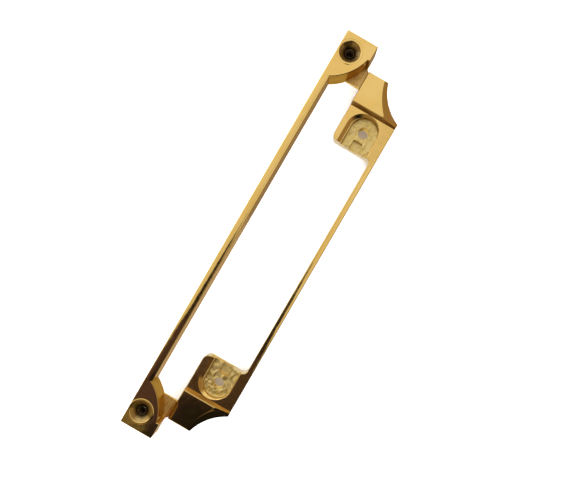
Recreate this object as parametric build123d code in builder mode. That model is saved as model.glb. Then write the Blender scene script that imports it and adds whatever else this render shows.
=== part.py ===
"""Stepped brass rebate frame for a mortice lock on rebated double doors.

A proud rail with two screw heads stands one rebate depth above a recessed
frame.  Each head is tied to the recessed frame by a thin web.  The recessed
frame carries the lock's forend: a seat with a sunk pocket at each end, a step
block beyond each seat that closes the forend in, and a slim rail between.

X runs across the door edge (proud rail at -X), Y along it, Z out of the door
edge.  The origin is the middle of the base.  Lengths are in millimetres.
The lower half is the upper half mirrored.
"""

import os

from build123d import *

os.makedirs("parts", exist_ok=True)

# Overall size
overall_length = 216.6
overall_width = 43.6
left = -overall_width / 2
right = overall_width / 2
end_y = overall_length / 2

# Levels above the base
seat_level = 10.6
step_height = 4.4
rebate_depth = 13.0
recessed_level = seat_level + step_height
proud_level = recessed_level + rebate_depth

# Web that ties a head to the recessed frame
web_thickness = 2.4
web_sink = 0.8
web_top = recessed_level - web_sink
web_base = web_top - web_thickness
web_inner_y = 89.7
web_outer_y = 98.6
web_ramp_run = 1.2

# Proud rail and heads
rail_width = 3.6
rail_right = left + rail_width
head_width = 16.8
head_right = left + head_width
head_start_y = 84.4
head_arc_radius = 25.5
shoulder_y = 100.2
shoulder_width = 1.2

# Countersunk screw hole in each head
screw_x = left + 6.2
screw_y = 99.4
screw_hole_radius = 1.9
countersink_radius = 5.3
countersink_angle = 90

# Step blocks: an upright body, sloped towards the seat and scalloped towards the door's face
block_left = left + 18.0
block_foot_y = 81.8
block_end_y = 99.9
block_shoulder_x = left + 30.0
block_foot_run = 1.1
scallop_level = 12.8
scallop_tip_y = 84.2
scallop_radius = 25.0
scallop_top_radius = 36.0
scallop_end_run = 0.5
scallop_side_run = 1.8
scallop_tip_run = 8.2

# Lock seats and the slim rail between them
seat_inner_y = 62.6
seat_corner_radius = 3.0
slim_rail_left = right - 2.9
slim_rail_fillet = 3.0
slim_rail_end_y = seat_inner_y - slim_rail_fillet

# Pocket in each seat, open towards the window, with a shallow lead-in
pocket_x = left + 30.8
pocket_y = 73.1
pocket_radius = 7.4
pocket_depth = 3.6
pocket_floor = seat_level - pocket_depth
lead_in_shift = 1.2
lead_in_depth = 0.8
lead_in_taper = 68
fixing_hole_radius = 2.75
notch_width = 5.2
notch_end_y = 68.0
notch_depth = 2.4

# Edges softened by polishing
polish_radius = 0.4
mouth_polish_radius = 0.3
tolerance = 0.01


def on_level(part, level):
    """Edges of a part that lie flat at one height."""
    return part.edges().filter_by_position(Axis.Z, level - tolerance, level + tolerance)


def away_from(edges, *cuts):
    """Edges whose middles are off every plane given as an axis name and a position."""
    kept = []
    for edge in edges:
        middle = edge @ 0.5
        gaps = [abs(getattr(middle, name) - position) for name, position in cuts]
        if min(gaps) > tolerance:
            kept.append(edge)
    return kept


def head_plan():
    """Outline of the upper head, which swells from the rail in one arc."""
    arc_start = (rail_right, head_start_y)
    arc_end = (head_right - shoulder_width, shoulder_y)
    with BuildSketch() as plan:
        with BuildLine():
            RadiusArc(arc_start, arc_end, -head_arc_radius)
            Polyline(
                arc_end,
                (head_right, shoulder_y),
                (head_right, end_y),
                (left, end_y),
                (left, head_start_y),
                arc_start,
            )
        make_face()
    return plan.sketch


def block_plan(level):
    """Outline of the upper step block at one height: its foot slopes first, its scallop above that."""
    slope = max(0, (level - seat_level) / step_height)
    scallop = max(0, (level - scallop_level) / (recessed_level - scallop_level))
    foot_y = block_foot_y + block_foot_run * slope
    far_y = block_end_y - scallop_end_run * scallop
    tip = (right - scallop_tip_run * scallop, scallop_tip_y)
    shoulder = (block_shoulder_x - scallop_side_run * scallop, far_y)
    radius = scallop_radius + (scallop_top_radius - scallop_radius) * scallop
    with BuildSketch(Plane.XY.offset(level)) as plan:
        with BuildLine():
            RadiusArc(tip, shoulder, radius)
            Polyline(
                shoulder,
                (block_left, far_y),
                (block_left, foot_y),
                (tip[0], foot_y),
                tip,
            )
        make_face()
    return plan.sketch


def slot_plan(centre_x, radius):
    """Round-ended slot that runs out of the seat on its window side."""
    open_y = seat_inner_y - seat_corner_radius - radius
    with BuildSketch() as plan:
        with Locations((centre_x, pocket_y)):
            Circle(radius)
        with Locations((centre_x, (open_y + pocket_y) / 2)):
            Rectangle(2 * radius, pocket_y - open_y)
    return plan.sketch


# Proud rail between the two heads
with BuildPart() as proud_rail:
    with BuildSketch(Plane.XY.offset(web_base)):
        with Locations((left + rail_width / 2, 0)):
            Rectangle(rail_width, 2 * head_start_y)
    extrude(amount=proud_level - web_base)
    fillet(on_level(proud_rail, proud_level).filter_by(Axis.Y), polish_radius)

# Head with its countersunk screw hole
with BuildPart() as upper_head:
    with BuildSketch(Plane.XY.offset(web_base)):
        add(head_plan())
    extrude(amount=proud_level - web_base)
    rim = away_from(on_level(upper_head, proud_level), ("Y", head_start_y))
    fillet(rim, polish_radius)
    with Locations((screw_x, screw_y, proud_level)):
        CounterSinkHole(
            screw_hole_radius,
            countersink_radius,
            counter_sink_angle=countersink_angle,
        )
    mouth = on_level(upper_head, proud_level).filter_by(GeomType.CIRCLE)
    fillet(mouth.sort_by(SortBy.RADIUS)[0], mouth_polish_radius)

# Thin web from the head's curved wall to the step block, with a ramp at its foot
with BuildPart() as upper_web:
    with BuildSketch(Plane.XY.offset(web_base)):
        with BuildLine():
            Polyline(
                (rail_right, web_inner_y),
                (block_left, web_inner_y),
                (block_left, web_outer_y),
                (head_right, shoulder_y),
                (rail_right, shoulder_y),
                close=True,
            )
        make_face()
        add(head_plan(), mode=Mode.SUBTRACT)
    extrude(amount=web_thickness)
    with BuildSketch(Plane.XZ.offset(-web_inner_y)):
        with BuildLine():
            Polyline(
                (block_left - web_ramp_run, web_top),
                (block_left, web_top),
                (block_left, recessed_level),
                close=True,
            )
        make_face()
    extrude(amount=web_inner_y - web_outer_y)

# Step block that closes in the end of the lock's forend
with BuildPart() as upper_step_block:
    for low, high in ((0, seat_level), (seat_level, scallop_level), (scallop_level, recessed_level)):
        loft([block_plan(low), block_plan(high)], ruled=True)

# Lock seat with its pocket, lead-in, fixing hole and notch
with BuildPart() as upper_lock_seat:
    with BuildSketch():
        with BuildLine():
            hollow_start = (slim_rail_left - slim_rail_fillet, seat_inner_y)
            hollow_end = (slim_rail_left, slim_rail_end_y)
            RadiusArc(hollow_start, hollow_end, slim_rail_fillet)
            Polyline(
                hollow_end,
                (right, slim_rail_end_y),
                (right, block_foot_y),
                (block_left, block_foot_y),
                (block_left, seat_inner_y),
                hollow_start,
            )
        make_face()
    extrude(amount=seat_level)
    corner = upper_lock_seat.edges().filter_by(Axis.Z).sort_by(Axis.X).group_by(Axis.X)[0]
    fillet(corner.sort_by(Axis.Y)[0], seat_corner_radius)
    with BuildSketch(Plane.XY.offset(seat_level)):
        add(slot_plan(pocket_x - lead_in_shift, pocket_radius + lead_in_shift))
    extrude(amount=-lead_in_depth, taper=lead_in_taper, mode=Mode.SUBTRACT)
    with BuildSketch(Plane.XY.offset(seat_level)):
        add(slot_plan(pocket_x, pocket_radius))
    extrude(amount=-pocket_depth, mode=Mode.SUBTRACT)
    with BuildSketch(Plane.XY.offset(pocket_floor)):
        with Locations((pocket_x, (seat_inner_y + notch_end_y) / 2)):
            Rectangle(notch_width, notch_end_y - seat_inner_y)
    extrude(amount=-notch_depth, mode=Mode.SUBTRACT)
    with Locations((pocket_x, pocket_y, pocket_floor)):
        Hole(fixing_hole_radius)

# Slim rail between the two lock seats
with BuildPart() as slim_rail:
    with BuildSketch():
        with Locations(((slim_rail_left + right) / 2, 0)):
            Rectangle(right - slim_rail_left, 2 * slim_rail_end_y)
    extrude(amount=seat_level)
    fillet(on_level(slim_rail, seat_level).filter_by(Axis.Y), polish_radius)

for name, single in (("proud_rail", proud_rail), ("slim_rail", slim_rail)):
    single.part.label = name
    export_step(single.part, f"parts/{name}.step")

halves = {
    "head": upper_head,
    "web": upper_web,
    "step_block": upper_step_block,
    "lock_seat": upper_lock_seat,
}
for name, upper in halves.items():
    with BuildPart() as lower:
        mirror(upper.part, about=Plane.XZ)
    upper.part.label = f"upper_{name}"
    lower.part.label = f"lower_{name}"
    export_step(upper.part, f"parts/upper_{name}.step")
    export_step(lower.part, f"parts/lower_{name}.step")
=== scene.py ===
"""Finished meshes, brass materials, light and camera for the stepped frame of a mortice lock.

Every piece follows its CAD node's box and rides on the one rigid body.  X runs across
the door edge, Y along it and Z out of it.  Shapes are in millimetres, the scene in metres.
"""

import math

import bmesh
import bpy
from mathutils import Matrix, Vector, noise


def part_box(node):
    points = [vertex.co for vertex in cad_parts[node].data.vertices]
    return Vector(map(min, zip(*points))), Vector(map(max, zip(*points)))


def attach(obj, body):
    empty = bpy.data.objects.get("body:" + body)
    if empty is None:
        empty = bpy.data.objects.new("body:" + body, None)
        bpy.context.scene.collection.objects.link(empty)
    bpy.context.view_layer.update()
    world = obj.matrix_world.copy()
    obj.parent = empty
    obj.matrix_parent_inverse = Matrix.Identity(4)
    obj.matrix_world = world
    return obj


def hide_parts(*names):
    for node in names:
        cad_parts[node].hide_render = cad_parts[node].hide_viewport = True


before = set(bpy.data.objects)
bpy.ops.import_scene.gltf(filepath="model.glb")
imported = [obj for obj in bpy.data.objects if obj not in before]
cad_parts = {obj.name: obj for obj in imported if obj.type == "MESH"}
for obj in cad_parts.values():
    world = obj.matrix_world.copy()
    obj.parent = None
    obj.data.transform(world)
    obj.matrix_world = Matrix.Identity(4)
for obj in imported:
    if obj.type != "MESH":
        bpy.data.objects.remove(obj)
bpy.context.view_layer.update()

MM = 0.001


def box_mm(node):
    """Lowest and highest corner of a CAD node, in millimetres."""
    low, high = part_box(node)
    return low / MM, high / MM


# Sizes that the CAD boxes give
rail_low, rail_high = box_mm("proud_rail")
head_low, head_high = box_mm("upper_head")
web_low, web_high = box_mm("upper_web")
block_low, block_high = box_mm("upper_step_block")
seat_low, seat_high = box_mm("upper_lock_seat")
slim_low, slim_high = box_mm("slim_rail")

# Head, its arc and its shoulder
ARC_RADIUS = 25.5
SHOULDER_WIDTH = 1.2
SHOULDER_Y = web_high.y

# Countersunk screw hole in each head, with a low bead and a groove round it
SCREW_X = rail_low.x + 6.2
SCREW_Y = 99.4
SCREW_RADIUS = 1.9
RIDGE_START = 0.6
RIDGE_PITCH = 0.9
RIDGE_DEPTH = 0.15
SINK_RADIUS = 5.2
SINK_DROP = 0.12
BEAD_RADIUS = 5.75
GROOVE_RADIUS = 6.3

# Web between the head and the step block
WEB_THICKNESS = 2.4
WEB_TOP = rail_low.z + WEB_THICKNESS
WEB_INNER_Y = web_low.y
WEB_OUTER_Y = 98.6
UPPER_WEB_RAMP = 0.05
LOWER_WEB_RAMP = 1.2
WEB_RAMP_LIMIT = 0.45
WEB_RAMP_BEND = 0.45

# Step block: its slope, its scalloped end and the lower one's ramp at its web
SLOPE_RUN = 1.1
SHOULDER_X = rail_low.x + 30.0
SHOULDER_SHIFT = 0.8
TIP_Y = 84.2
SCALLOP_LEVEL = 12.8
SCALLOP_RADIUS = 25.0
SCALLOP_TOP_RADIUS = 36.0
SCALLOP_RUN = 1.8
TIP_RUN = 8.2
END_RUN = 0.5
RAMP_RUN = 1.4
RAMP_START_Y = WEB_INNER_Y - 0.5
RAMP_BEND_Y = WEB_INNER_Y + 2.0
RAMP_BEND_SHARE = 0.8

# Lock seat with its pocket, lead-in, fixing hole and notch
SEAT_CORNER = 3.0
SEAT_INNER_Y = slim_high.y + SEAT_CORNER
SEAT_EDGE = 0.3
SLOT_OPEN_Y = SEAT_INNER_Y - 9.0
POCKET_X = rail_low.x + 30.8
POCKET_Y = 73.1
POCKET_RADIUS = 7.4
POCKET_FLOOR = seat_high.z - 3.6
POCKET_FILLET = 0.7
MOUTH_DROP = 0.3
LEAD_SHIFT = 1.2
LEAD_DEPTH = 0.8
LEAD_RUN = 1.98
HOLE_RADIUS = 2.75
NOTCH_HALF = 2.6
NOTCH_END_Y = 68.0
NOTCH_DEPTH = 2.4

# Edges worn soft by the polishing wheel, and the tilts in degrees of each rail's crowned top
EDGE = 0.4
BASE_EDGE = 0.15
CORNER = 0.4
PROUD_TILTS = (2.0, -5.0)
PROUD_EDGES = (EDGE, 0.3)
SLIM_TILTS = (1.3, -4.0)
SLIM_EDGES = (0.1, EDGE)

# How far a cutter reaches past the piece
OVERRUN = 1.0

# Fineness of the meshes
ROUND_STEPS = 6
CIRCLE_STEPS = 64
ARC_STEPS = 48
HOLLOW_STEPS = 12
SLOT_STEPS = 20
SLOT_SIDE_STEPS = 24
CROWN_STEPS = 16
RAIL_STEPS = 48
WEB_STEPS = 24
FLOOR_ROWS = 18
SHARP_ANGLE = math.radians(18)
ROUGH_SHARP_ANGLE = math.radians(34)
MARGIN = 0.05


# ---------------------------------------------------------------- outlines

def arc_centre(start, end, radius):
    """Centre of the arc through two points, on the left of the way from start to end."""
    start, end = Vector(start), Vector(end)
    half = (end - start) / 2
    reach = math.sqrt(radius ** 2 - half.length_squared)
    return start + half + Vector((-half.y, half.x)).normalized() * reach


def arc(centre, start, end, steps):
    """Points of the shorter arc from start to end around a centre, both ends included."""
    first = Vector(start) - centre
    last = Vector(end) - centre
    angle = math.atan2(first.y, first.x)
    sweep = (math.atan2(last.y, last.x) - angle + math.pi) % math.tau - math.pi
    points = []
    for i in range(steps + 1):
        share = i / steps
        radius = first.length + (last.length - first.length) * share
        turn = angle + sweep * share
        points.append((centre.x + radius * math.cos(turn), centre.y + radius * math.sin(turn)))
    return points


def rounded(corners):
    """Outline through corners given as (x, y, radius), where radius 0 keeps the corner."""
    points = []
    for i, (x, y, radius) in enumerate(corners):
        if radius <= 0:
            points.append((x, y))
            continue
        here = Vector((x, y))
        to_last = (Vector(corners[i - 1][:2]) - here).normalized()
        to_next = (Vector(corners[(i + 1) % len(corners)][:2]) - here).normalized()
        half_angle = to_last.angle(to_next) / 2
        reach = radius / math.tan(half_angle)
        centre = here + (to_last + to_next).normalized() * radius / math.sin(half_angle)
        points += arc(centre, here + to_last * reach, here + to_next * reach, ROUND_STEPS)
    return points


def straight(start, end, steps):
    """Points along a line, with its start and without its end."""
    start, end = Vector(start), Vector(end)
    return [tuple(start.lerp(end, i / steps)) for i in range(steps)]


HEAD_ARC_START = (rail_high.x, rail_high.y)
HEAD_ARC_END = (head_high.x - SHOULDER_WIDTH, SHOULDER_Y)
HEAD_CENTRE = arc_centre(HEAD_ARC_START, HEAD_ARC_END, ARC_RADIUS)


def head_arc(inset):
    """The head's curved wall from the rail to its shoulder, drawn in by an inset."""
    radius = ARC_RADIUS - inset
    ends = []
    for y in (rail_high.y, SHOULDER_Y + inset):
        x = HEAD_CENTRE.x + math.sqrt(radius ** 2 - (y - HEAD_CENTRE.y) ** 2)
        ends.append((x, y))
    return arc(HEAD_CENTRE, *ends, ARC_STEPS)


def head_ring(inset):
    """Outline of the upper head."""
    corner = CORNER - inset
    wall = [(x, y, 0) for x, y in head_arc(inset)]
    return rounded([
        (rail_low.x + inset, rail_high.y, 0),
        *wall,
        (head_high.x - inset, SHOULDER_Y + inset, corner / 2),
        (head_high.x - inset, head_high.y - inset, corner),
        (rail_low.x + inset, head_high.y - inset, corner),
    ])


def web_section(y, ramp_run):
    """(x, z) section of the upper web, from the head's curved wall to a ramp up the block."""
    past = max(0.0, (y - WEB_OUTER_Y) / (SHOULDER_Y - WEB_OUTER_Y))
    start = HEAD_CENTRE.x + math.sqrt(ARC_RADIUS ** 2 - (y - HEAD_CENTRE.y) ** 2)
    end = block_low.x + (head_high.x - block_low.x) * past
    longest = (end - start) * WEB_RAMP_LIMIT * (1 - past) + 0.01
    foot = end - min(longest, ramp_run)
    rise = (block_high.z - WEB_TOP) * (1 - past)
    return [
        (start, web_low.z),
        (start, WEB_TOP),
        (foot, WEB_TOP),
        ((foot + end) / 2, WEB_TOP + rise * WEB_RAMP_BEND),
        (end, WEB_TOP + rise),
        (end, web_low.z),
    ]


def block_ring(height, edge, side):
    """Outline of a step block at one height; the lower block is filed less and has a ramp at its web."""
    slope = max(0.0, (height - seat_high.z) / (block_high.z - seat_high.z))
    scallop = max(0.0, (height - SCALLOP_LEVEL) / (block_high.z - SCALLOP_LEVEL))
    ramp = RAMP_RUN * max(0.0, (height - WEB_TOP) / (block_high.z - WEB_TOP)) if side < 0 else 0.0
    foot_y = block_low.y + SLOPE_RUN * slope + edge
    far_y = block_high.y - END_RUN * scallop - edge
    tip = (block_high.x - TIP_RUN * scallop - edge, TIP_Y)
    shoulder = (SHOULDER_X - side * SHOULDER_SHIFT - SCALLOP_RUN * scallop - edge, far_y)
    radius = SCALLOP_RADIUS + (SCALLOP_TOP_RADIUS - SCALLOP_RADIUS) * scallop
    return [
        (block_low.x + edge, foot_y),
        (tip[0], foot_y),
        *arc(arc_centre(shoulder, tip, radius), tip, shoulder, ARC_STEPS),
        (block_low.x + ramp + edge, far_y),
        (block_low.x + ramp * RAMP_BEND_SHARE + edge, RAMP_BEND_Y),
        (block_low.x + edge, RAMP_START_Y),
    ]


def seat_ring(inset):
    """Outline of the upper lock seat, with the hollow where the slim rail leaves it."""
    hollow_centre = Vector((slim_low.x - SEAT_CORNER, slim_high.y))
    hollow = arc(
        hollow_centre,
        (slim_low.x + inset, slim_high.y),
        (slim_low.x - SEAT_CORNER, SEAT_INNER_Y + inset),
        HOLLOW_STEPS,
    )
    rail_side = [(x, y, 0) for x, y in hollow]
    return rounded([
        (seat_high.x - inset, slim_high.y, 0),
        (seat_high.x - inset, seat_high.y, 0),
        (seat_low.x + inset, seat_high.y, 0),
        (seat_low.x + inset, SEAT_INNER_Y + inset, SEAT_CORNER - inset),
        *reversed(rail_side),
    ])


# ------------------------------------------------------------------ meshes

def edge_levels(low, high, edge):
    """(height, inset) pairs of an upright wall, softened at its foot and rounded at its top."""
    levels = [(low, BASE_EDGE), (low + BASE_EDGE, 0.0), (high - edge, 0.0)]
    for i in range(1, ROUND_STEPS + 1):
        turn = math.radians(90 * i / ROUND_STEPS)
        levels.append((high - edge * (1 - math.sin(turn)), edge * (1 - math.cos(turn))))
    return levels


def at_height(height, points):
    """A flat outline as a ring of points in space."""
    return [(x, y, height) for x, y in points]


def loft(name, rings, side=1):
    """Closed mesh through rings of equal length, each counterclockwise as seen from the last."""
    build = bmesh.new()
    rows = []
    for ring in rings:
        rows.append([build.verts.new(Vector((x, side * y, z)) * MM) for x, y, z in ring])
    for below, above in zip(rows, rows[1:]):
        for i in range(len(below)):
            j = (i + 1) % len(below)
            build.faces.new((below[i], below[j], above[j], above[i]))
    build.faces.new(rows[-1])
    build.faces.new(reversed(rows[0]))
    if side < 0:
        bmesh.ops.reverse_faces(build, faces=build.faces)
    mesh = bpy.data.meshes.new(name)
    build.to_mesh(mesh)
    build.free()
    piece = bpy.data.objects.new(name, mesh)
    bpy.context.scene.collection.objects.link(piece)
    return piece


def prism(name, outline, low, high, side=1, edge=EDGE):
    """Upright piece with a softened foot and a rounded top edge."""
    rings = [at_height(height, outline(inset)) for height, inset in edge_levels(low, high, edge)]
    return loft(name, rings, side)


def apply_modifiers(piece):
    """Turns a piece's modifiers into its mesh."""
    graph = bpy.context.evaluated_depsgraph_get()
    mesh = bpy.data.meshes.new_from_object(piece.evaluated_get(graph), depsgraph=graph)
    piece.modifiers.clear()
    piece.data = mesh


def cut(piece, cutters):
    """Cuts solids out of a piece and deletes them."""
    for cutter in cutters:
        modifier = piece.modifiers.new("cut", "BOOLEAN")
        modifier.operation = "DIFFERENCE"
        modifier.solver = "EXACT"
        modifier.object = cutter
    apply_modifiers(piece)
    for cutter in cutters:
        bpy.data.objects.remove(cutter)


def rail_section(low, high, tilts, edges):
    """(x, z) outline of a rail whose crowned top has given tilts and roundings at its left and right."""
    left, right = low.x + edges[0], high.x - edges[1]
    crown = []
    height = 0.0
    for i in range(CROWN_STEPS + 1):
        share = i / CROWN_STEPS
        crown.append((left + (right - left) * share, height))
        tilt = math.radians(tilts[0] + (tilts[1] - tilts[0]) * share)
        height += math.tan(tilt) * (right - left) / CROWN_STEPS
    peak = max(rise for _, rise in crown)
    top = [(x, high.z - peak + rise) for x, rise in crown]
    turns = [math.radians(90 * i / ROUND_STEPS) for i in range(ROUND_STEPS)]
    left_bend = [
        (left - edges[0] * math.cos(turn), top[0][1] - edges[0] * (1 - math.sin(turn))) for turn in turns
    ]
    right_bend = [
        (right + edges[1] * math.cos(turn), top[-1][1] - edges[1] * (1 - math.sin(turn))) for turn in turns
    ]
    return [
        (low.x + BASE_EDGE, low.z),
        (high.x - BASE_EDGE, low.z),
        (high.x, low.z + BASE_EDGE),
        *right_bend,
        *reversed(top),
        *reversed(left_bend),
        (low.x, low.z + BASE_EDGE),
    ]


def rail(name, low, high, tilts, edges):
    """Rail along Y whose flat ends are joints."""
    section = rail_section(low, high, tilts, edges)
    rings = []
    for i in range(RAIL_STEPS + 1):
        y = high.y + (low.y - high.y) * i / RAIL_STEPS
        rings.append([(x, y, z) for x, z in section])
    return loft(name, rings)


def circle(x, y, radius):
    """Points round a circle."""
    turns = [math.tau * i / CIRCLE_STEPS for i in range(CIRCLE_STEPS)]
    return [(x + radius * math.cos(t), y + radius * math.sin(t)) for t in turns]


def sink_cutter(side):
    """Screw hole ridged by the drill, and a countersink with a low bead and a groove round it."""
    top = rail_high.z
    throat = top - SINK_DROP - (SINK_RADIUS - SCREW_RADIUS)
    profile = [(rail_low.z - OVERRUN, SCREW_RADIUS)]
    level = rail_low.z + RIDGE_START
    while level + RIDGE_PITCH < throat:
        profile.append((level, SCREW_RADIUS))
        profile.append((level + RIDGE_PITCH / 2, SCREW_RADIUS - RIDGE_DEPTH))
        level += RIDGE_PITCH
    profile += [
        (throat, SCREW_RADIUS),
        (top - SINK_DROP, SINK_RADIUS),
        (top - 0.08, SINK_RADIUS + 0.12),
        (top - 0.03, BEAD_RADIUS),
        (top - 0.05, BEAD_RADIUS + 0.2),
        (top - 0.11, GROOVE_RADIUS - 0.04),
        (top + 0.02, GROOVE_RADIUS),
        (top + 0.5, GROOVE_RADIUS + 0.2),
    ]
    rings = [at_height(height, circle(SCREW_X, SCREW_Y, radius)) for height, radius in profile]
    return loft("sink_cutter", rings, side)


def slot_ring(x, radius):
    """Round-ended slot that runs out of the seat on its window side."""
    centre = Vector((x, POCKET_Y))
    right, far, left = (x + radius, POCKET_Y), (x, POCKET_Y + radius), (x - radius, POCKET_Y)
    return [
        *straight((x + radius, SLOT_OPEN_Y), right, SLOT_SIDE_STEPS),
        *arc(centre, right, far, SLOT_STEPS),
        *arc(centre, far, left, SLOT_STEPS)[1:],
        *straight(left, (x - radius, SLOT_OPEN_Y), SLOT_SIDE_STEPS)[1:],
        (x - radius, SLOT_OPEN_Y),
    ]


def lead_in_cutter(side):
    """Shallow sloping band round the pocket's far side."""
    x = POCKET_X - LEAD_SHIFT
    mouth = POCKET_RADIUS + LEAD_SHIFT
    over = 0.25
    rings = [
        at_height(seat_high.z - LEAD_DEPTH, slot_ring(x, mouth - LEAD_RUN)),
        at_height(seat_high.z + over, slot_ring(x, mouth + over * LEAD_RUN / LEAD_DEPTH)),
    ]
    return loft("lead_in_cutter", rings, side)


def cast_height(x, y, seed, size):
    """Lumps and pits of a rough casting, in millimetres."""
    broad = noise.noise(Vector((x * 0.45, y * 0.45, seed)))
    lumps = noise.noise(Vector((x * 1.1, y * 1.1, seed + 7)))
    grit = noise.noise(Vector((x * 2.9, y * 2.9, seed + 19)))
    return size * (0.20 * broad + 0.16 * lumps + 0.07 * grit)


def pocket_cutter(side):
    """Pocket with a rolled mouth, a fillet at its foot and a rough cast floor, rougher in the lower seat."""
    seed, size = (3.0, 1.0) if side > 0 else (11.0, 1.7)
    rings = []
    for i in range(FLOOR_ROWS):
        share = (i + 1) / (FLOOR_ROWS + 1)
        rings.append(at_height(POCKET_FLOOR, slot_ring(POCKET_X, (POCKET_RADIUS - POCKET_FILLET) * share)))
    for i in range(ROUND_STEPS + 1):
        turn = math.radians(90 * i / ROUND_STEPS)
        radius = POCKET_RADIUS - POCKET_FILLET * (1 - math.sin(turn))
        level = POCKET_FLOOR + POCKET_FILLET * (1 - math.cos(turn))
        rings.append(at_height(level, slot_ring(POCKET_X, radius)))
    for drop, flare in ((MOUTH_DROP, 0.0), (0.1, 0.07), (-0.02, 0.3), (-0.5, 0.8)):
        rings.append(at_height(seat_high.z - drop, slot_ring(POCKET_X, POCKET_RADIUS + flare)))
    cutter = loft("pocket_cutter", rings, side)
    for vertex in cutter.data.vertices:
        x, y, z = vertex.co / MM
        share = max(0.0, 1 - (z - POCKET_FLOOR) / POCKET_FILLET)
        vertex.co.z += share * cast_height(x, y, seed, size) * MM
    return cutter


def hole_cutter(side):
    """Plain fixing hole, flared where it meets the pocket's floor."""
    rings = [at_height(seat_low.z - OVERRUN, circle(POCKET_X, POCKET_Y, HOLE_RADIUS))]
    for rise, flare in ((-0.6, 0.0), (0.6, 0.25), (2.0, 0.6)):
        rings.append(at_height(POCKET_FLOOR + rise, circle(POCKET_X, POCKET_Y, HOLE_RADIUS + flare)))
    return loft("hole_cutter", rings, side)


def notch_cutter(side):
    """Filed notch in the pocket's floor at its open end."""
    start_y = SEAT_INNER_Y - 2 * OVERRUN
    corner = 0.35
    rings = []
    for rise, grow in ((-NOTCH_DEPTH, -0.1), (-0.1, 0.0), (0.9, 0.25)):
        half = NOTCH_HALF + grow
        rings.append(at_height(POCKET_FLOOR + rise, rounded([
            (POCKET_X - half, start_y, 0),
            (POCKET_X + half, start_y, 0),
            (POCKET_X + half, NOTCH_END_Y + grow, corner),
            (POCKET_X - half, NOTCH_END_Y + grow, corner),
        ])))
    return loft("notch_cutter", rings, side)


# --------------------------------------------------------------- materials

def nodes_of(material):
    material.use_nodes = True
    tree = material.node_tree
    return tree, tree.nodes["Principled BSDF"]


def add(tree, kind, inputs=None, **settings):
    """Adds a node, sets its properties and fills or links its inputs."""
    node = tree.nodes.new(kind)
    for name, value in settings.items():
        setattr(node, name, value)
    for key, value in (inputs or {}).items():
        if isinstance(value, bpy.types.NodeSocket):
            tree.links.new(value, node.inputs[key])
        else:
            node.inputs[key].default_value = value
    return node


def math_node(tree, operation, a, b=0.0, c=0.0):
    return add(tree, "ShaderNodeMath", {0: a, 1: b, 2: c}, operation=operation).outputs[0]


def map_range(tree, value, low, high, to_low=0.0, to_high=1.0, smooth=True):
    node = add(
        tree,
        "ShaderNodeMapRange",
        {0: value, 1: low, 2: high, 3: to_low, 4: to_high},
        interpolation_type="SMOOTHSTEP" if smooth else "LINEAR",
    )
    return node.outputs[0]


def mix_colour(tree, share, a, b):
    node = add(tree, "ShaderNodeMix", {0: share, 6: a, 7: b}, data_type="RGBA")
    return node.outputs[2]


def noise_node(tree, vector, scale, detail=3.0, roughness=0.5):
    inputs = {"Vector": vector, "Scale": scale, "Detail": detail, "Roughness": roughness}
    return add(tree, "ShaderNodeTexNoise", inputs).outputs["Fac"]


def scaled(tree, vector, scale):
    return add(tree, "ShaderNodeMapping", {"Vector": vector, "Scale": scale}).outputs["Vector"]


def bump_node(tree, height, strength, distance, normal=None):
    inputs = {"Height": height, "Strength": strength, "Distance": distance}
    if normal:
        inputs["Normal"] = normal
    return add(tree, "ShaderNodeBump", inputs).outputs["Normal"]


def wall_share(tree):
    """1 on upright walls and 0 on faces that look up or down."""
    normal = add(tree, "ShaderNodeNewGeometry").outputs["Normal"]
    up = add(tree, "ShaderNodeSeparateXYZ", {0: normal}).outputs["Z"]
    return map_range(tree, math_node(tree, "ABSOLUTE", up), 0.75, 0.15)


EDGE_TINT = (0.80, 0.60, 0.30, 1.0)
PALE_TINT = (1.0, 0.97, 0.88, 1.0)


def polished_brass(name, edge_tint, haze, dull=0.03):
    """Hand-polished brass: nearly a mirror on its faces, duller on its walls, whose colour is browner and
    darker: patina with painted shade in it.
    """
    gold, light_gold = (0.80, 0.545, 0.175, 1), (0.83, 0.585, 0.215, 1)
    patina_shade, dark_patina_shade = (0.62, 0.44, 0.20, 1), (0.50, 0.34, 0.14, 1)
    material = bpy.data.materials.new(name)
    tree, shader = nodes_of(material)
    place = add(tree, "ShaderNodeTexCoord").outputs["Object"]
    wall = wall_share(tree)
    cloud = noise_node(tree, place, 70.0)
    face_colour = mix_colour(tree, map_range(tree, cloud, 0.35, 0.65), gold, light_gold)
    stain = noise_node(tree, place, 240.0, 5.0, 0.6)
    # Upright walls take a browner, darker colour: patina plus painted shade.
    wall_patina_and_shade = mix_colour(tree, map_range(tree, stain, 0.35, 0.7), patina_shade, dark_patina_shade)
    tree.links.new(mix_colour(tree, wall, face_colour, wall_patina_and_shade), shader.inputs["Base Color"])
    shader.inputs["Metallic"].default_value = 1.0
    shader.inputs["Specular Tint"].default_value = edge_tint
    smear = noise_node(tree, place, 420.0, 4.0)
    rough = math_node(tree, "MULTIPLY_ADD", smear, haze, dull)
    rough = math_node(tree, "MULTIPLY_ADD", wall, 0.12, rough)
    tree.links.new(rough, shader.inputs["Roughness"])
    wave = noise_node(tree, place, 110.0, 1.5)
    lines = noise_node(tree, scaled(tree, place, (2600.0, 90.0, 900.0)), 1.0, 2.0)
    waves = bump_node(tree, wave, 1.0, 0.00005)
    tree.links.new(bump_node(tree, lines, 0.5, 0.000004, waves), shader.inputs["Normal"])
    return material


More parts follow.
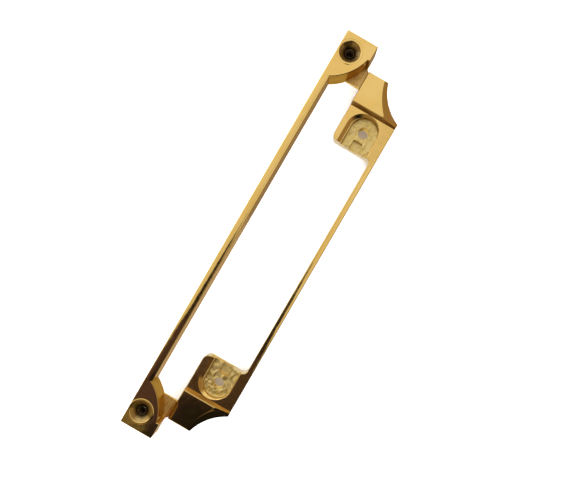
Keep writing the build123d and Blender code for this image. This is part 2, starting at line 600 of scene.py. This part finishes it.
def satin_brass():
    """Brass reached only by a file and an abrasive stick: streaked, browner and half dull."""
    tan, light_tan, brown = (0.90, 0.60, 0.20, 1), (1.00, 0.72, 0.30, 1), (0.30, 0.19, 0.07, 1)
    material = bpy.data.materials.new("satin_brass")
    tree, shader = nodes_of(material)
    place = add(tree, "ShaderNodeTexCoord").outputs["Object"]
    streak = noise_node(tree, scaled(tree, place, (1500.0, 260.0, 700.0)), 1.0, 3.0)
    stain = noise_node(tree, place, 330.0, 4.0)
    colour = mix_colour(tree, map_range(tree, stain, 0.35, 0.65), tan, light_tan)
    colour = mix_colour(tree, map_range(tree, streak, 0.5, 0.75, 0.0, 0.6), colour, brown)
    tree.links.new(colour, shader.inputs["Base Color"])
    shader.inputs["Metallic"].default_value = 1.0
    shader.inputs["Specular Tint"].default_value = EDGE_TINT
    shader.inputs["Roughness"].default_value = 0.42
    tree.links.new(bump_node(tree, streak, 0.5, 0.00005), shader.inputs["Normal"])
    return material


def cast_brass():
    """Rough brass as it leaves the mould, pale on its high spots and dark in its pits."""
    ochre, pale, brown = (0.78, 0.60, 0.22, 1), (0.95, 0.78, 0.38, 1), (0.30, 0.20, 0.07, 1)
    material = bpy.data.materials.new("cast_brass")
    tree, shader = nodes_of(material)
    place = add(tree, "ShaderNodeTexCoord").outputs["Object"]
    patch = noise_node(tree, place, 260.0, 4.0, 0.6)
    colour = mix_colour(tree, map_range(tree, patch, 0.4, 0.66), ochre, pale)
    pits = noise_node(tree, place, 800.0, 3.0, 0.6)
    colour = mix_colour(tree, map_range(tree, pits, 0.40, 0.3, 0.0, 0.7), colour, brown)
    tree.links.new(colour, shader.inputs["Base Color"])
    shader.inputs["Metallic"].default_value = 1.0
    shader.inputs["Specular Tint"].default_value = EDGE_TINT
    tree.links.new(map_range(tree, patch, 0.3, 0.7, 0.34, 0.5), shader.inputs["Roughness"])
    tree.links.new(bump_node(tree, pits, 0.7, 0.00012), shader.inputs["Normal"])
    return material


def turned_brass():
    """Brass cut by a countersink bit: fine rings about the hole's axis, with painted near-black shade in the
    hole that fades out up the countersink.
    """
    hole_shade_black, brown = (0.010, 0.006, 0.003, 1), (0.06, 0.035, 0.015, 1)
    bronze, gold = (0.50, 0.36, 0.14, 1), (0.72, 0.55, 0.25, 1)
    material = bpy.data.materials.new("turned_brass")
    tree, shader = nodes_of(material)
    place = add(tree, "ShaderNodeTexCoord").outputs["Object"]
    x, y, _ = add(tree, "ShaderNodeSeparateXYZ", {0: place}).outputs
    off_x = math_node(tree, "SUBTRACT", x, SCREW_X * MM)
    off_y = math_node(tree, "SUBTRACT", math_node(tree, "ABSOLUTE", y), SCREW_Y * MM)
    square = math_node(tree, "MULTIPLY_ADD", off_x, off_x, math_node(tree, "MULTIPLY", off_y, off_y))
    out = math_node(tree, "SQRT", square)
    # Painted shade: near-black in the hole, fading to the brass colour up the countersink.
    hole_shade_fade = map_range(tree, out, 2.3 * MM, 4.4 * MM)
    cone = map_range(tree, out, 1.95 * MM, 2.3 * MM)
    stain = noise_node(tree, place, 500.0, 4.0)
    painted_hole_shade = mix_colour(tree, stain, hole_shade_black, brown)
    outer = mix_colour(tree, stain, bronze, gold)
    tree.links.new(mix_colour(tree, hole_shade_fade, painted_hole_shade, outer), shader.inputs["Base Color"])
    # The hole's walls are non-metal and dull as well, which keeps the painted shade dark.
    tree.links.new(cone, shader.inputs["Metallic"])
    shader.inputs["Specular Tint"].default_value = EDGE_TINT
    shader.inputs["Specular IOR Level"].default_value = 0.1
    tree.links.new(map_range(tree, cone, 0.0, 1.0, 0.85, 0.25), shader.inputs["Roughness"])
    rings = math_node(tree, "SINE", math_node(tree, "MULTIPLY", out, 15000.0))
    tree.links.new(bump_node(tree, rings, 0.35, 0.00004), shader.inputs["Normal"])
    return material


POLISHED = polished_brass("polished_brass", EDGE_TINT, 0.09)
SEAT = polished_brass("seat_brass", PALE_TINT, 0.14, 0.045)
FILED = polished_brass("filed_brass", EDGE_TINT, 0.14, 0.24)
SATIN = satin_brass()
CAST = cast_brass()
TURNED = turned_brass()


# ------------------------------------------------------------------ pieces

def mark_sharp(mesh):
    """Smooth shading with sharp edges, of which the second material keeps fewer."""
    build = bmesh.new()
    build.from_mesh(mesh)
    for face in build.faces:
        face.smooth = True
    for edge in build.edges:
        rough = all(face.material_index for face in edge.link_faces)
        edge.smooth = edge.calc_face_angle() < (ROUGH_SHARP_ANGLE if rough else SHARP_ANGLE)
    build.to_mesh(mesh)
    build.free()


def finish_piece(piece, node, main, other=None, is_other=None):
    """Shades a piece, gives it its brass and puts it in its CAD node's place."""
    piece.data.materials.clear()
    piece.data.materials.append(main)
    if other:
        piece.data.materials.append(other)
        for face in piece.data.polygons:
            face.material_index = int(is_other(face))
    mark_sharp(piece.data)
    modifier = piece.modifiers.new("normals", "WEIGHTED_NORMAL")
    modifier.keep_sharp = True
    modifier.weight = 60
    apply_modifiers(piece)
    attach(piece, "root")
    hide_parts(node)


def in_pocket(face, side):
    """Whether a face is on the rough inside of the pocket."""
    x, y, z = face.center / MM
    beyond = max(side * y - POCKET_Y, 0.0)
    inside = math.hypot(x - POCKET_X, beyond) < POCKET_RADIUS + 2 * MARGIN
    between = BASE_EDGE + MARGIN < z < seat_high.z - MOUTH_DROP - MARGIN
    return inside and between and side * y > SEAT_INNER_Y


def on_slope(face, side):
    """Whether a step block's face slopes towards its seat."""
    steep = side * face.normal.y < -0.5 and abs(face.normal.x) < 0.1
    return steep and face.center.z > seat_high.z * MM


def in_sink(face, side):
    """Whether a face is in the screw hole or its countersink."""
    x, y, z = face.center / MM
    off = math.hypot(x - SCREW_X, side * y - SCREW_Y)
    return off < SINK_RADIUS and rail_low.z + MARGIN < z < rail_high.z - 2 * MARGIN


def make_rails():
    proud = rail("proud_rail_polished", rail_low, rail_high, PROUD_TILTS, PROUD_EDGES)
    finish_piece(proud, "proud_rail", POLISHED)
    slim = rail("slim_rail_polished", slim_low, slim_high, SLIM_TILTS, SLIM_EDGES)
    finish_piece(slim, "slim_rail", POLISHED)


def make_head(half, side):
    head = prism(f"{half}_head_polished", head_ring, head_low.z, head_high.z, side)
    cut(head, [sink_cutter(side)])
    finish_piece(head, f"{half}_head", POLISHED, TURNED, lambda face: in_sink(face, side))


def make_web(half, side):
    ramp_run = UPPER_WEB_RAMP if side > 0 else LOWER_WEB_RAMP
    rings = []
    for i in range(WEB_STEPS + 1):
        y = WEB_INNER_Y + (SHOULDER_Y - WEB_INNER_Y) * i / WEB_STEPS
        rings.append([(x, y, z) for x, z in web_section(y, ramp_run)])
    web = loft(f"{half}_web_polished", rings, side)
    finish_piece(web, f"{half}_web", SATIN)


def make_block(half, side):
    foot, wall, *rounding = edge_levels(block_low.z, block_high.z, EDGE)
    bends = [(level, 0.0) for level in (seat_high.z, SCALLOP_LEVEL, WEB_TOP)]
    levels = [foot, wall, *bends, *rounding]
    rings = [at_height(height, block_ring(height, edge, side)) for height, edge in levels]
    block = loft(f"{half}_step_block_polished", rings, side)
    node = f"{half}_step_block"
    finish_piece(block, node, POLISHED, FILED, lambda face: on_slope(face, side))


def make_seat(half, side):
    seat = prism(f"{half}_lock_seat_cast", seat_ring, seat_low.z, seat_high.z, side, SEAT_EDGE)
    cut(seat, [notch_cutter(side), hole_cutter(side), lead_in_cutter(side), pocket_cutter(side)])
    finish_piece(seat, f"{half}_lock_seat", SEAT, CAST, lambda face: in_pocket(face, side))


make_rails()
for half, side in (("upper", 1), ("lower", -1)):
    make_head(half, side)
    make_web(half, side)
    make_block(half, side)
    make_seat(half, side)


# ----------------------------------------------------- floor, light, camera

def make_floor():
    """Plain pale floor, with a painted tan shade where it is closely hemmed in, as seen through the fixing
    holes.
    """
    bpy.ops.mesh.primitive_plane_add(size=6.0, location=(0, 0, -0.0003))
    floor = bpy.context.object
    floor.name = "floor"
    material = bpy.data.materials.new("pale_floor")
    tree, shader = nodes_of(material)
    open_sky = add(tree, "ShaderNodeAmbientOcclusion", {"Distance": 0.006}, samples=8).outputs["AO"]
    # Painted shade: the floor turns tan where little open sky lies within 6 mm, as under the fixing holes.
    pale = mix_colour(tree, map_range(tree, open_sky, 0.2, 0.42), (0.62, 0.52, 0.40, 1), (0.9, 0.9, 0.9, 1))
    tree.links.new(pale, shader.inputs["Base Color"])
    shader.inputs["Roughness"].default_value = 1.0
    shader.inputs["Specular IOR Level"].default_value = 0.0
    floor.data.materials.append(material)
    floor.visible_glossy = False


# The studio is painted over slopes: how far a direction leans to +X and to +Y for each unit up or down.
BLACK_CLOTH = (0.013, 0.012, 0.013, 1)
BROWN_ROOM = (0.36, 0.25, 0.14, 1)


def line(tree, value, rise, start):
    """Straight line over a value."""
    return math_node(tree, "MULTIPLY_ADD", value, rise, start)


def figure_share(tree, across, along):
    """1 on the photographer: a head just below the camera, then shoulders, then a coat."""
    left_head = map_range(tree, along, -0.13, 0.02, -0.085, 0.0, smooth=False)
    left_shoulder = math_node(tree, "MINIMUM", left_head, line(tree, along, 1.8, 0.139))
    left_side = math_node(tree, "MINIMUM", left_shoulder, line(tree, along, 6.0, 1.1))
    right_head = map_range(tree, along, -0.06, 0.02, 0.08, 0.01, smooth=False)
    right_shoulder = math_node(tree, "MAXIMUM", right_head, line(tree, along, -1.6, -0.072))
    right_side = math_node(tree, "MAXIMUM", right_shoulder, line(tree, along, -14.0, -2.9))
    in_left = map_range(tree, math_node(tree, "SUBTRACT", across, left_side), -0.008, 0.012)
    in_right = map_range(tree, math_node(tree, "SUBTRACT", right_side, across), -0.008, 0.012)
    return math_node(tree, "MULTIPLY", in_left, in_right)


def figure_colour(tree, across, along):
    """Maroon sleeve, dark clothes and hair, an olive hem, and the brown floor in front of them."""
    right = mix_colour(tree, map_range(tree, along, -0.215, -0.235), (0.07, 0.042, 0.04, 1), BLACK_CLOTH)
    colour = mix_colour(tree, map_range(tree, across, -0.085, -0.05), (0.085, 0.05, 0.065, 1), right)
    colour = mix_colour(tree, map_range(tree, along, -0.16, -0.12), colour, (0.022, 0.015, 0.010, 1))
    hem = mix_colour(tree, map_range(tree, across, -0.097, -0.088), (0.24, 0.20, 0.12, 1), BLACK_CLOTH)
    colour = mix_colour(tree, map_range(tree, along, -0.288, -0.298), colour, hem)
    low, left = map_range(tree, along, -0.42, -0.6), map_range(tree, across, 0.7, 0.3)
    return mix_colour(tree, math_node(tree, "MULTIPLY", low, left), colour, (0.33, 0.24, 0.14, 1))


def tent_colour(tree, x, y, z, across):
    """White tent overhead and to the left, a dim room to the right and beyond the upper end."""
    tent = mix_colour(tree, map_range(tree, y, -0.4, 0.5), (0.78, 0.70, 0.55, 1), (1.0, 0.95, 0.86, 1))
    far, right = map_range(tree, z, 0.42, 0.2), map_range(tree, x, -0.35, 0.05)
    far_right = math_node(tree, "MULTIPLY", far, right)
    dim = math_node(tree, "MAXIMUM", map_range(tree, across, 0.18, 0.42), far_right)
    room = mix_colour(tree, map_range(tree, y, -0.15, 0.0), (0.13, 0.08, 0.05, 1), BROWN_ROOM)
    return mix_colour(tree, dim, tent, room)


def table_colour(tree, across, along):
    """The table: bright between the rails, in shade beside the proud rail and dark on the right."""
    table = mix_colour(tree, map_range(tree, across, 0.03, 0.07), (1.0, 0.98, 0.92, 1), (0.70, 0.62, 0.46, 1))
    near, beside = map_range(tree, across, 0.04, 0.07), map_range(tree, across, 0.16, 0.12)
    under_rail = math_node(tree, "MULTIPLY", near, beside)
    shade = math_node(tree, "MULTIPLY", map_range(tree, along, -0.01, 0.03), under_rail)
    table = mix_colour(tree, shade, table, (0.20, 0.15, 0.10, 1))
    side = mix_colour(tree, map_range(tree, along, -0.3, 0.3), (0.014, 0.011, 0.010, 1), BROWN_ROOM)
    return mix_colour(tree, map_range(tree, across, 0.3, 0.6), table, side)


def make_world():
    """White studio with the dark shape of the photographer, who stands beyond the part's lower end."""
    world = bpy.data.worlds.new("studio")
    bpy.context.scene.world = world
    world.use_nodes = True
    world.cycles.sampling_method = "NONE"
    tree = world.node_tree
    way = add(tree, "ShaderNodeTexCoord").outputs["Generated"]
    x, y, z = add(tree, "ShaderNodeSeparateXYZ", {0: way}).outputs
    up = math_node(tree, "MAXIMUM", math_node(tree, "ABSOLUTE", z), 0.02)
    across = math_node(tree, "DIVIDE", x, up)
    along = math_node(tree, "DIVIDE", y, up)
    figure = figure_share(tree, across, along)
    sky = mix_colour(tree, figure, tent_colour(tree, x, y, z, across), figure_colour(tree, across, along))
    room = mix_colour(tree, map_range(tree, z, -0.03, 0.03), table_colour(tree, across, along), sky)
    rays = add(tree, "ShaderNodeLightPath").outputs
    seen = mix_colour(tree, rays["Is Camera Ray"], room, (1, 1, 1, 1))
    lit = mix_colour(tree, rays["Is Diffuse Ray"], seen, (3.0, 3.0, 3.0, 1))
    background = tree.nodes["Background"]
    tree.links.new(lit, background.inputs["Color"])
    background.inputs["Strength"].default_value = 1.0


def make_light(name, place, size, power, colour):
    """Soft area light that looks at the part and doesn't show itself."""
    data = bpy.data.lights.new(name, "AREA")
    data.shape = "RECTANGLE"
    data.size, data.size_y = size
    data.energy = power
    data.color = colour
    light = bpy.data.objects.new(name, data)
    light.location = place
    light.rotation_euler = (-Vector(place)).to_track_quat("-Z", "Y").to_euler()
    light.visible_camera = False
    bpy.context.scene.collection.objects.link(light)


def make_camera():
    """Camera straight above the part, turned so that the part leans to the right."""
    data = bpy.data.cameras.new("camera")
    data.sensor_width = 36.0
    data.lens = 46.35
    data.shift_x = -0.044
    data.shift_y = 0.032
    data.clip_start = 0.01
    camera = bpy.data.objects.new("camera", data)
    camera.location = (0.019, 0.0, 0.376)
    camera.rotation_euler = (0.0, 0.0, math.radians(30.2))
    bpy.context.scene.collection.objects.link(camera)
    bpy.context.scene.camera = camera


make_floor()
make_world()
make_light("left_softbox", (-0.9, 0.1, 0.7), (0.7, 1.1), 1.5, (1.0, 0.96, 0.9))
make_camera()
bpy.context.scene.view_settings.view_transform = "Standard"
